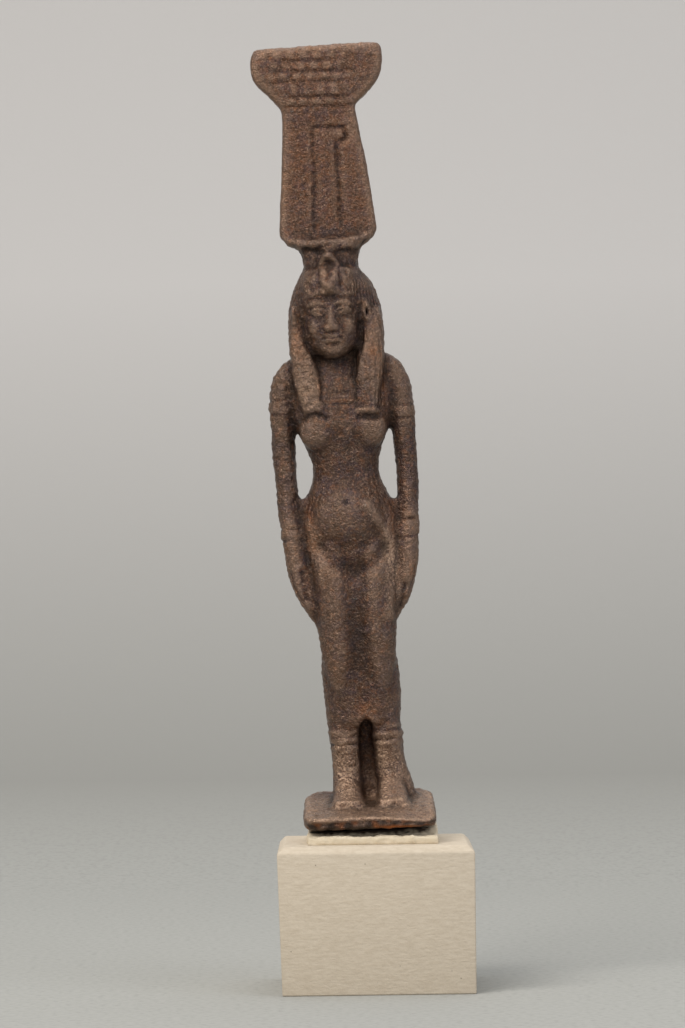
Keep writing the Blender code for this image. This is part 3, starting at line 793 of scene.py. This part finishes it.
    def carve_face(self, chisel: Chisel) -> None:
        """Cut the lids, brows, nostrils and lips of a calm, even face.

        Args:
            chisel: Works on the bronze's points.
        """
        front = chisel.facing(Side.FRONT)
        x = chisel.at[:, 0] - self.face_x
        z = chisel.at[:, 2]
        for side in (-1, 1):
            u = (x - side * self.eye[0]) / self.eye_half[0]
            edge = self.eye_half[1] * np.clip(1 - u ** 2, 0, 1)
            v = z - self.eye[1]
            lid = bell(np.abs(v), edge, 0.13) * (np.abs(u) < 1.15)
            crease = bell(v, edge + 0.32, 0.12) * (np.abs(u) < 1.0)
            chisel.lift += (0.12 * lid - 0.10 * crease) * front
            brow = [(self.face_x + side * across, self.eye[1] + up)
                    for across, up in ((0.55, 0.86), (1.3, 1.12), (2.1, 1.08), (2.9, 0.72))]
            chisel.groove(brow, 0.20, -0.14)
            chisel.swell((self.face_x + side * 0.36, -4.2, 61.62), (0.20, 0.5, 0.16), -0.22)
            chisel.swell((self.face_x + side * 1.22, -3.2, self.mouth_height), (0.22, 0.6, 0.22), -0.12)
        line = [(self.face_x + across, self.mouth_height + 0.06 * abs(across))
                for across in (-1.15, -0.5, 0.0, 0.5, 1.15)]
        chisel.groove([(a, b + 0.30) for a, b in line[1:4]], 0.22, -0.14)
        chisel.groove([(a, b - 0.34) for a, b in line[1:4]], 0.24, -0.16)
        chisel.groove(line, 0.11, 0.16)
        chisel.groove([(self.face_x, 61.5), (self.face_x, 61.15)], 0.14, 0.07)
        chisel.groove([(self.face_x - 0.7, 59.95), (self.face_x + 0.7, 59.95)], 0.22, 0.08)

    def carve_headdress(self, chisel: Chisel) -> None:
        """Cut the basket's woven rows, the house plan, the ledge, and the serpent in front of the cap.

        Args:
            chisel: Works on the bronze's points.
        """
        x, _, z = chisel.at.T
        basket = ramp(z, self.basket_foot, self.basket_foot + 0.4) * (z < self.basket_top)
        worn = ramp(np.abs(x + 1.2), 6.3, 4.8) * chisel.patches(2.6, 5.0, 0.8, 1.4, (0.15, 1.1))
        level = z - self.basket_slope * x
        for side in (Side.FRONT, Side.BACK):
            face = chisel.facing(side) * basket * worn
            for number, row in enumerate(self.basket_rows):
                above = self.basket_rows[number - 1] if number else row + 1.2
                half = (above - row) / 2
                inside = np.clip(1 - ((level - row - half) / half) ** 2, 0, 1)
                blocks = np.cos(2 * math.pi * (x + 0.55 * number) / self.pellet)
                chisel.lift += face * inside * (0.03 + 0.06 * np.clip(blocks + 0.3, -1, 1))
        plan = [(-1.98, 75.0), (-1.25, 88.3), (2.78, 88.1), (2.92, 86.6),
                (1.65, 86.4), (1.48, 80.5), (1.54, 75.2)]
        chisel.groove(plan, 0.24, 0.16, where=chisel.patches(0.6, 7.3, 0.9, 1.6, (0.3, 1.4)))
        chisel.groove([(-1.25, 88.3), (1.2, 88.2)], 0.22, 0.10)
        crest = [(-4.3, 72.9), (-1.7, 73.3), (1.2, 73.5), (3.9, 73.2)]
        for side in (Side.FRONT, Side.BACK):
            chisel.groove(crest, 0.30, -0.14, side)
        chisel.roughen(0.9, 0.24, 71.0, bell(z, 72.9, 1.3))
        for hollow, reach, depth in (
            ((-1.75, -1.4, 72.05), (0.8, 1.2, 0.32), 0.45),
            ((-3.1, -0.9, 72.35), (0.8, 1.2, 0.30), 0.40),
            ((3.5, -0.9, 71.95), (0.55, 1.2, 0.36), 0.50),
            ((1.85, -1.4, 72.0), (0.7, 1.2, 0.30), 0.32),
            ((-0.42, -3.0, 70.45), (0.80, 1.2, 0.45), 0.22),
        ):
            chisel.swell(hollow, reach, -depth)
        hood = [(-1.65, 70.55), (-1.2, 71.3), (-0.5, 71.8), (0.25, 71.2), (0.85, 70.4)]
        chisel.groove(hood, 0.30, -0.16)
        chisel.swell((-0.45, -3.6, 71.45), (0.65, 0.9, 0.42), 0.30)
        chisel.swell((-0.45, -3.4, 69.5), (0.9, 1.2, 0.9), -0.26)
        for route in ([(-1.85, 70.2), (-2.05, 67.3)], [(1.05, 70.0), (1.0, 67.0)]):
            chisel.groove(route, 0.26, 0.12)
        for lump in ((-1.0, -3.1, 69.3), (0.27, -3.1, 68.95), (-2.6, -2.8, 69.35), (-1.3, -3.2, 67.9)):
            chisel.swell(lump, (0.38, 0.8, 0.50), 0.20)
        chisel.swell((-0.6, -3.9, 67.5), (0.75, 0.9, 0.38), 0.20)
        forelock = (z > 66.4) * (z < 70.4) * (np.abs(x + 0.5) < 3.2) * chisel.facing(Side.FRONT)
        chisel.roughen(0.8, 0.16, 83.0, forelock)

    def carve_wig(self, chisel: Chisel) -> None:
        """Cut the fringe's edge, the ears' slots, and the lappets' edges, ends and tie.

        Args:
            chisel: Works on the bronze's points.
        """
        fringe = [(-3.85, 65.5), (-2.7, 65.92), (-0.5, 66.02), (1.43, 65.97), (2.4, 65.8), (3.3, 65.3)]
        chisel.groove([(a, b - 0.25) for a, b in fringe], 0.30, -0.09)
        chisel.groove([(a, b + 0.50) for a, b in fringe], 0.36, -0.09)
        for side, slot, depth in ((-1, (-5.1, -1.4, 64.3), 0.25), (1, (4.2, -1.6, 63.8), 0.75)):
            chisel.swell(slot, (0.24, 1.2, 0.52), -depth)
            rim = [(side * 3.9, 65.3), (side * 4.5, 65.6), (side * 4.95, 64.9), (side * 4.85, 63.2)]
            chisel.groove([(self.face_x + a, b) for a, b in rim], 0.22, -0.14)
        chisel.swell((3.1, -2.2, 60.1), (0.22, 1.4, 0.22), -0.6)
        left_edge = [(-4.35, 62.6), (-4.3, 60.75), (-3.24, 58.7), (-2.47, 56.7), (-2.35, 54.8), (-2.6, 52.8)]
        for route, half_width, depth in (
            (left_edge, 0.22, 0.18),
            ([(3.2, 62.5), (3.1, 60.0), (2.9, 59.2), (2.28, 57.7), (1.75, 55.8)], 0.38, 0.30),
            ([(1.75, 55.8), (1.95, 53.8), (1.85, 51.6)], 0.20, 0.14),
            ([(-5.1, 50.45), (-4.3, 50.95), (-3.4, 51.05), (-2.6, 50.8), (-2.2, 50.45)], 0.34, 0.30),
            ([(1.95, 51.75), (4.7, 51.6)], 0.18, 0.07),
            ([(1.95, 51.15), (4.67, 50.95)], 0.30, -0.20),
            ([(2.1, 50.25), (4.6, 50.05)], 0.38, 0.20),
        ):
            chisel.groove(route, half_width, depth)

    def carve_body(self, chisel: Chisel) -> None:
        """Cut collar, navel and folds, the bands at arms, wrists and ankles, the hands, and the plate's edge.

        Args:
            chisel: Works on the bronze's points.
        """
        for left, right, half_width, depth in (
            ((-1.25, 53.83), (1.2, 53.66), 0.20, 0.11),
            ((-1.2, 53.15), (1.3, 52.98), 0.18, -0.07),
            ((-1.2, 52.66), (1.4, 52.48), 0.16, -0.09),
            ((-1.1, 52.26), (1.4, 52.09), 0.20, 0.11),
        ):
            chisel.groove([left, right], half_width, depth)
        chisel.swell((-0.3, -2.6, 39.4), (0.50, 1.5, 0.42), -0.32)
        for route, half_width, depth in (
            ([(-3.9, 33.8), (-2.3, 31.7), (0.24, 30.4), (2.5, 31.4), (4.4, 33.2)], 0.90, 0.38),
            ([(2.5, 38.8), (4.5, 35.4), (5.2, 32.7), (5.1, 28.8), (4.3, 24.3)], 0.75, -0.32),
            ([(-5.4, 36.7), (-4.9, 33.2), (-4.5, 29.5)], 0.80, -0.18),
            ([(0.2, 29.6), (0.0, 21.4), (0.1, 13.5)], 1.30, 0.24),
            ([(-0.7, 47.8), (0.4, 46.4), (1.4, 47.4)], 1.20, 0.18),
        ):
            chisel.groove(route, half_width, depth)
        for side, height in self.armlets:
            chisel.ring(height, 0.17, 0.16, side, (6.3, 8.4))
        for side, height in self.bracelets:
            chisel.ring(height, 0.17, 0.22, side, (5.6, 7.2))
        for side, height, depth in self.anklets:
            chisel.ring(height, 0.24, depth, side, (0.6, 1.2))
        for side, face in ((-1, Side.LEFT), (1, Side.RIGHT)):
            hand = chisel.at[:, 0] * side > 4.5
            for y in (0.1, 0.85, 1.6):
                chisel.groove([(y, 30.6), (y - 0.25, 26.0)], 0.13, 0.14, face, hand)
        chisel.groove([(-6.65, 30.6), (-6.5, 29.0), (-6.35, 27.2)], 0.50, 0.34)
        chisel.groove([(6.62, 28.1), (6.3, 26.7), (6.0, 25.4)], 0.38, 0.28)
        ahead = ramp(-chisel.at[:, 1], 6.5, 7.5)
        for height, half_width, depth in ((-1.15, 0.30, -0.16), (-1.80, 0.36, 0.16)):
            chisel.groove([(-7.4, height), (7.9, height)], half_width, depth, where=ahead)
        chisel.swell((6.0, -3.0, -0.4), (0.50, 0.55, 0.5), 0.20)
        chisel.swell((6.0, -3.0, -0.2), (0.20, 0.25, 0.6), -0.30)

    def age(self, chisel: Chisel) -> None:
        """Roughen the skin: coarse on the image-left arm and lappet and on the plate, finer elsewhere.

        Args:
            chisel: Works on the bronze's points.
        """
        x, y, z = chisel.at.T.copy()
        calm_edge = 1 - 0.7 * ramp(z, 73, 75) * np.abs(chisel.out[:, 0])
        chisel.roughen(3.2, 0.08, 11.0)
        chisel.roughen(1.1, 0.05, 23.0, calm_edge)
        chisel.roughen(0.75, 0.15, 37.0, self.coarse_places(chisel))
        chisel.roughen(0.50, 0.12, 51.0, calm_edge)
        chisel.roughen(1.3, 0.12, 61.0, ramp(z - 0.13 * y, 1.6, 0.8))
        # The plate's front edge is worn down towards the image-right corner
        above_foot = z + self.plate_rise - self.plate_slope * x
        worn = 0.5 * ramp(x, 0.5, 7.5) * ramp(-y, 5.0, 8.2) * (z < 0)
        chisel.sink(worn * np.clip(above_foot, 0, None))

    def coarse_places(self, chisel: Chisel) -> np.ndarray:
        """Where the skin is most corroded: the image-left arm, shoulder and lappet.

        Args:
            chisel: Works on the bronze's points.

        Returns:
            A mask over the points.
        """
        x, _, z = chisel.at.T
        arm = ramp(-x, 4.6, 6.1) * ramp(z, 34, 40) * ramp(z, 62, 59)
        lappet = ramp(-x, 1.2, 2.4) * ramp(z, 50.5, 52) * ramp(z, 66, 62)
        return np.clip(arm + lappet, 0, 1)

    def between_feet(self, chisel: Chisel) -> np.ndarray:
        """Where the open slot between the feet is, as a mask over the points."""
        x, _, z = chisel.at.T
        return np.exp(-(((x - 0.2) / 1.15) ** 6)) * (z > 0.2) * (z < 11)

    def map_hollows_and_shade(self, chisel: Chisel) -> None:
        """Store where the skin lies deep, with painted shade over its broad folds, waist, collar, lower
        belly, skirt and forearms, and where it is coarse.

        Args:
            chisel: Works on the bronze's points.
        """
        x, _, z = chisel.at.T
        # Painted shade on the forearms, more on the image-right one
        forearms = (np.abs(x) > 6.4) * ramp(z, 50, 48) * ramp(z, 37, 39)
        broad_shade = np.where(x > 0, 0.50, 0.36) * forearms + sum(spot.over(x, z) for spot in self.shade_spots)
        lines = chisel.hollowness(5) / 0.05
        # Painted shade over the broad folds
        folds = chisel.hollowness(40) / 0.35
        recess_and_shade = np.clip(0.45 * lines + 0.65 * folds + broad_shade, -1, 1)
        chisel.keep("recess_and_shade", recess_and_shade * (1 - 0.85 * self.between_feet(chisel)))
        chisel.keep("coarse", 0.15 + 0.85 * self.coarse_places(chisel))

    def map_wear_and_highlights(self, chisel: Chisel) -> None:
        """Store where hands have rubbed the skin bright, with painted highlights on the shins, hips, a lappet
        and the plate's front edge and top, and where copper shows through it.

        Args:
            chisel: Works on the bronze's points.
        """
        x, y, z = chisel.at.T
        front = chisel.facing(Side.FRONT)
        slot = self.between_feet(chisel)
        # Worn shins, with painted highlight stripes down the middle of each leg
        shin_wear_and_highlight = 0.50 + 1.0 * bell(x, -2.9, 0.8) + 0.8 * bell(x, 2.1, 0.7)
        rub_and_highlight = shin_wear_and_highlight * ramp(z, 9.5, 7.0) * ramp(z, -1.3, -0.9) * (1 - slot) * front
        # A painted highlight along the plate's front top edge
        rub_and_highlight += 0.5 * bell(z, -1.15, 0.28) * ramp(-y, 7.3, 8.1)
        # Painted light on the plate's top and other low faces turned upward
        rub_and_highlight += 0.65 * ramp(z, 0.9, 0.4) * (chisel.out[:, 2] > 0.5)
        rub_and_highlight += 0.50 * slot * ramp(z, 5.5, 2.0)
        # Painted highlights on the hips and the image-left lappet
        rub_and_highlight += front * sum(spot.over(x, z) for spot in self.painted_highlight_spots)
        chisel.keep("rub_and_highlight", np.clip(rub_and_highlight, 0, 1))
        copper = 0.7 * front * sum(spot.over(x, z) for spot in self.copper_spots)
        chisel.keep("copper", np.clip(copper + 0.22 * ramp(z, 73.5, 75.5), 0, 0.7))

    def map_plate_front(self, chisel: Chisel) -> None:
        """Store where the plate's front face is darker, in patches, and the bare copper there and along its
        foot.

        Args:
            chisel: Works on the bronze's points.
        """
        x, y, z = chisel.at.T
        face = ramp(z, -1.35, -1.65) * ramp(-y, 6.0, 8.0)
        # Darker in patches over the plate's front face
        chisel.keep("plate_front_dark", 0.95 * face * chisel.patches(1.2, 3.0, 0.80, 0.9))
        streak = bell(z + 0.03 * x, -2.45, 0.24) * ramp(np.abs(x - 3.6), 3.52, 1.32) * (y < -6)
        spots = face * chisel.patches(1.1, 9.0, -0.25, 2.2)
        bare = 0.85 * streak * chisel.facing(Side.FRONT) + 0.35 * spots
        chisel.keep("bare_copper", np.clip(bare, 0, 1))

    def map_strands(self, chisel: Chisel) -> None:
        """Store where the wig is combed into strands, and the run of the strands round the head.

        Args:
            chisel: Works on the bronze's points.
        """
        x, y, z = chisel.at.T
        wig = ramp(z, 51.6, 52.1) * ramp(z, 69.5, 67.0)
        worn = 0.9 * ramp(x, 2.6, 1.4) * ramp(y, 1.5, -0.5)
        arms = ramp(np.abs(x), 5.8, 6.2) * (z < 59.5)
        face = ramp(np.abs(x - self.face_x), 4.4, 4.0) * (y < -0.8) * (z > 59.8) * (z < 66.0)
        breast = (y < -1.2) * (z < 51.0)
        chisel.keep("combed", wig * (1 - np.clip(worn + arms + face + breast, 0, 1)))
        chisel.keep("strand", np.arctan2(x, 2.2 - y) * 6.0)

    def dress(self, bronze: bpy.types.Object) -> None:
        """Give the bronze its finish and put it in its solid's place.

        Args:
            bronze: The finished piece.
        """
        only(bronze)
        bpy.ops.object.shade_smooth()
        finish = PatinatedBronze()
        bronze.data.materials.clear()
        bronze.data.materials.append(finish.make())
        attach(bronze, "root")
        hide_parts("statuette")


@dataclass
class Mount:
    """The painted block with the levelling pad on it, sizes in millimetres."""

    block_left_draft: float = 0.5
    block_right_draft: float = 0.05
    block_chamfer: float = 0.85
    block_round: float = 0.22
    pad_voxel: float = 0.18
    lip_height: float = 0.7
    foot_drop: float = 0.38

    def build_block(self) -> bpy.types.Object:
        """The block: a cube drawn in towards its foot, chamfered round its top, its edges softened by paint.

        Returns:
            The finished piece.
        """
        low, high = (Vector(corner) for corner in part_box("mount_block"))
        bpy.ops.object.select_all(action="DESELECT")
        bpy.ops.mesh.primitive_cube_add(size=1.0)
        block = bpy.context.object
        block.name = "painted_block"
        block.location = (low + high) / 2
        block.scale = high - low
        settle(block)
        bpy.ops.object.mode_set(mode="EDIT")
        for side, draft in ((-1, self.block_left_draft), (1, -self.block_right_draft)):
            pick(block, "VERT", lambda v: v.co.x * side > 0 and v.co.z < high.z / 2)
            bpy.ops.transform.translate(value=(draft * MM, 0, 0))
        pick(block, "EDGE", lambda e: all(v.co.z > high.z / 2 for v in e.verts))
        bpy.ops.mesh.bevel(offset=self.block_chamfer * MM, segments=1, affect="EDGES")
        pick(block, "EDGE", lambda e: len(e.link_faces) == 2 and e.calc_face_angle(0) > math.radians(15))
        bpy.ops.mesh.bevel(offset=self.block_round * MM, segments=3, profile=0.5, affect="EDGES")
        bpy.ops.object.mode_set(mode="OBJECT")
        only(block)
        bpy.ops.object.shade_smooth_by_angle(angle=math.radians(35))
        return block

    def build_pad(self) -> bpy.types.Object:
        """The pad: lumpy under its paint, with painted shadow and some brown staining where it sits back
        under the bronze.

        Returns:
            The finished piece.
        """
        pad = merged_copy("levelling_pad", "painted_pad")
        finish_with(pad, "REMESH", mode="VOXEL", voxel_size=self.pad_voxel * MM, use_smooth_shade=True)
        finish_with(pad, "SMOOTH", factor=0.5, iterations=4)
        chisel = Chisel(pad, Matrix.Scale(MM, 4))
        x, y, z = chisel.at.T.copy()
        up = z - z.min()
        front = ramp(-y, 5.0, 5.5)
        lip = front * (up < self.lip_height + 0.25) * ramp(up, 0.1, 0.4)
        chisel.roughen(1.8, 0.26, 3.0, lip)
        chisel.roughen(0.5, 0.18, 5.0, lip)
        # The foot is let into the block a little, because the paint leaves no gap between them
        chisel.sink(self.foot_drop * ramp(up, 0.65, 0.30))
        # Painted shadow, with some brown staining, on the pad's face where it sits back under the bronze,
        # paler towards the image-right end
        blot = 0.30 * chisel.pattern(0.6, 2.0)
        under = ramp(up + blot, self.lip_height + 0.12, self.lip_height + 0.42) * front
        paler = np.minimum(ramp(x, 3.0, 6.0), 0.5) * chisel.patches(0.5, 4.0, 0.6, 3.0)
        ends = ramp(np.abs(x + 0.7), 7.9, 7.5)
        # A faint line of dirt runs along the pad's foot, broken up along its length
        seam = 0.3 * bell(up, 0.02, 0.10) * front * chisel.patches(1.6, 8.0, 0.5, 4.0)
        chisel.keep("stain_and_shadow", np.clip(under * (1 - paler) * ends + seam, 0, 1))
        chisel.apply()
        only(pad)
        bpy.ops.object.shade_smooth()
        return pad

    def dress(self, block: bpy.types.Object, pad: bpy.types.Object) -> None:
        """Give block and pad their paint and put them in their solids' places.

        Args:
            block: The finished block.
            pad: The finished pad.
        """
        pad_paint = BrushedPaint("painted_pad", "#D9CCB5", "#CBBDA3", brush_mm=0.3, nap_mm=0.3, fleck_mm=0.8)
        for piece, node, finish in (
            (block, "mount_block", BrushedPaint()),
            (pad, "levelling_pad", pad_paint),
        ):
            piece.data.materials.clear()
            piece.data.materials.append(finish.make())
            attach(piece, "root")
            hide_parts(node)


@dataclass
class Studio:
    """Seamless paper, soft lights, and the camera in front, sizes and places in millimetres."""

    width: float = 2400.0
    front: float = -900.0
    turn_start: float = 170.0
    turn_radius: float = 260.0
    wall_height: float = 1200.0
    lit_height: float = 60.0
    camera_at: Point = (-3.75, -562.7, 54.4)
    camera_lens: float = 150.8
    camera_roll: float = -0.8
    camera_shift: float = 0.0545
    room_colour: str = "#E8E8E8"
    room_strength: float = 0.33

    def build_paper(self) -> bpy.types.Object:
        """The paper: a plane drawn out along the floor, spun up behind and drawn on as a wall.

        Returns:
            The finished paper.
        """
        bpy.ops.object.select_all(action="DESELECT")
        bpy.ops.mesh.primitive_plane_add(size=1.0)
        paper = bpy.context.object
        paper.name = "seamless_paper"
        middle = (self.front + self.turn_start) / 2
        paper.location = (0, middle * MM, 0)
        paper.scale = (self.width * MM, (self.turn_start - self.front) * MM, 1)
        settle(paper)
        bpy.ops.object.mode_set(mode="EDIT")
        pick(paper, "EDGE", lambda e: all(v.co.y > (self.turn_start - 1) * MM for v in e.verts))
        bpy.ops.mesh.spin(steps=24, angle=math.radians(-90), axis=(1, 0, 0),
                          center=(0, self.turn_start * MM, self.turn_radius * MM))
        back = (self.turn_start + self.turn_radius - 0.5) * MM
        pick(paper, "EDGE", lambda e: all(v.co.y > back for v in e.verts))
        bpy.ops.mesh.extrude_edges_move(TRANSFORM_OT_translate={"value": (0, 0, self.wall_height * MM)})
        bpy.ops.mesh.select_all(action="SELECT")
        bpy.ops.mesh.remove_doubles(threshold=0.01 * MM)
        bpy.ops.mesh.normals_make_consistent(inside=False)
        # An open sheet has no inside, so its first face, the floor, says whether it was turned face down
        if bmesh.from_edit_mesh(paper.data).faces[0].normal.z < -0.5:
            bpy.ops.mesh.flip_normals()
        bpy.ops.object.mode_set(mode="OBJECT")
        bpy.ops.object.shade_smooth()
        paper.data.materials.append(SeamlessPaper().make())
        return paper

    def add_light(self, name: str, at: Point, size: float, power: float, colour: str = "#FFFFFF") -> None:
        """Hang one soft light, turned to the middle of the figure.

        Args:
            name: Its name.
            at: Its place in millimetres.
            size: Its side in millimetres.
            power: Its power in watts.
            colour: Its colour.
        """
        lamp = bpy.data.lights.new(name, "AREA")
        lamp.shape = "SQUARE"
        lamp.size = size * MM
        lamp.energy = power
        lamp.color = linear(colour)[:3]
        light = bpy.data.objects.new(name, lamp)
        light.location = Vector(at) * MM
        middle = Vector((0, 0, self.lit_height * MM))
        light.rotation_euler = (middle - light.location).to_track_quat("-Z", "Y").to_euler()
        bpy.context.scene.collection.objects.link(light)

    def light(self) -> None:
        """Hang the lights and set the room's own dim light."""
        self.add_light("key_softbox", (-330, -420, 560), 420, 4.6, "#FFF9F2")
        self.add_light("fill_softbox", (480, -380, 260), 420, 1.3, "#F6F8FF")
        self.add_light("top_softbox", (40, 120, 720), 500, 2.2)
        world = bpy.data.worlds.new("room")
        world.use_nodes = True
        background = world.node_tree.nodes["Background"]
        background.inputs[0].default_value = linear(self.room_colour)
        background.inputs[1].default_value = self.room_strength
        bpy.context.scene.world = world
        bpy.context.scene.view_settings.view_transform = "Standard"

    def aim_camera(self) -> None:
        """Set the camera level in front, its framing raised by the lens shift."""
        lens = bpy.data.cameras.new("camera")
        lens.sensor_width = 36.0
        lens.lens = self.camera_lens
        lens.shift_y = self.camera_shift
        lens.clip_start = 10 * MM
        camera = bpy.data.objects.new("camera", lens)
        upright = Matrix.Rotation(math.radians(90), 4, "X")
        roll = Matrix.Rotation(math.radians(self.camera_roll), 4, "Z")
        camera.matrix_world = Matrix.Translation(Vector(self.camera_at) * MM) @ upright @ roll
        bpy.context.scene.collection.objects.link(camera)
        bpy.context.scene.camera = camera


def report(pieces: Iterable[bpy.types.Object]) -> None:
    """Log each piece's size and number of triangles.

    Args:
        pieces: The finished pieces.
    """
    for piece in pieces:
        piece.data.calc_loop_triangles()
        size = " x ".join(f"{edge / MM:.2f}" for edge in piece.dimensions)
        log.info("%s: %d triangles, %s mm", piece.name, len(piece.data.loop_triangles), size)


def main() -> None:
    """Build the part's pieces and the studio."""
    logging.basicConfig(level=logging.INFO, format="%(message)s")
    studio = Studio()
    studio.aim_camera()
    statuette = Statuette()
    bronze = statuette.build()
    statuette.dress(bronze)
    mount = Mount()
    block = mount.build_block()
    pad = mount.build_pad()
    mount.dress(block, pad)
    paper = studio.build_paper()
    studio.light()
    report((bronze, block, pad, paper))


if __name__ == "__main__":
    main()
